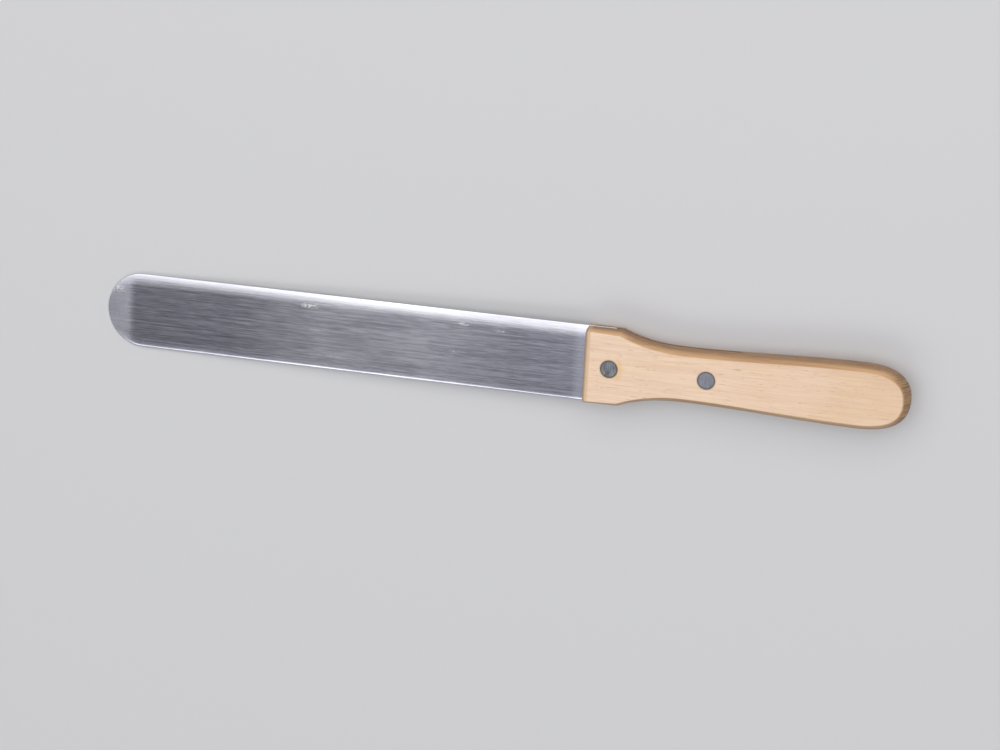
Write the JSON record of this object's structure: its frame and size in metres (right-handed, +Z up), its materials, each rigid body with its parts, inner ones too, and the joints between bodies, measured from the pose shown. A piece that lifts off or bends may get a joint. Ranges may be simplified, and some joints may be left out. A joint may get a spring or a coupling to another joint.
{
  "type": "lab spatula",
  "caption": "Flexible steel spatula with a long flat round-tipped blade, riveted into a slotted one-piece wooden handle.",
  "frame": {"origin": "on the table, below the centre of the whole spatula's box", "axes": "+X from the blade's tip to the handle's butt, +Y across the blade, +Z up; the spatula lies at rest on its tip and on the lower front edge of its handle"},
  "size_m": [0.3234, 0.03, 0.0148],
  "materials": {
    "blade_steel": "satin",
    "beech": "satin",
    "rivet_metal": "satin"
  },
  "bodies": {
    "root": {"blade_with_tang": "blade_steel", "handle": "beech", "front_rivet_socket_half": "rivet_metal", "front_rivet_pin_half": "rivet_metal", "rear_rivet_socket_half": "rivet_metal", "rear_rivet_pin_half": "rivet_metal"}
  },
  "joints": []
}
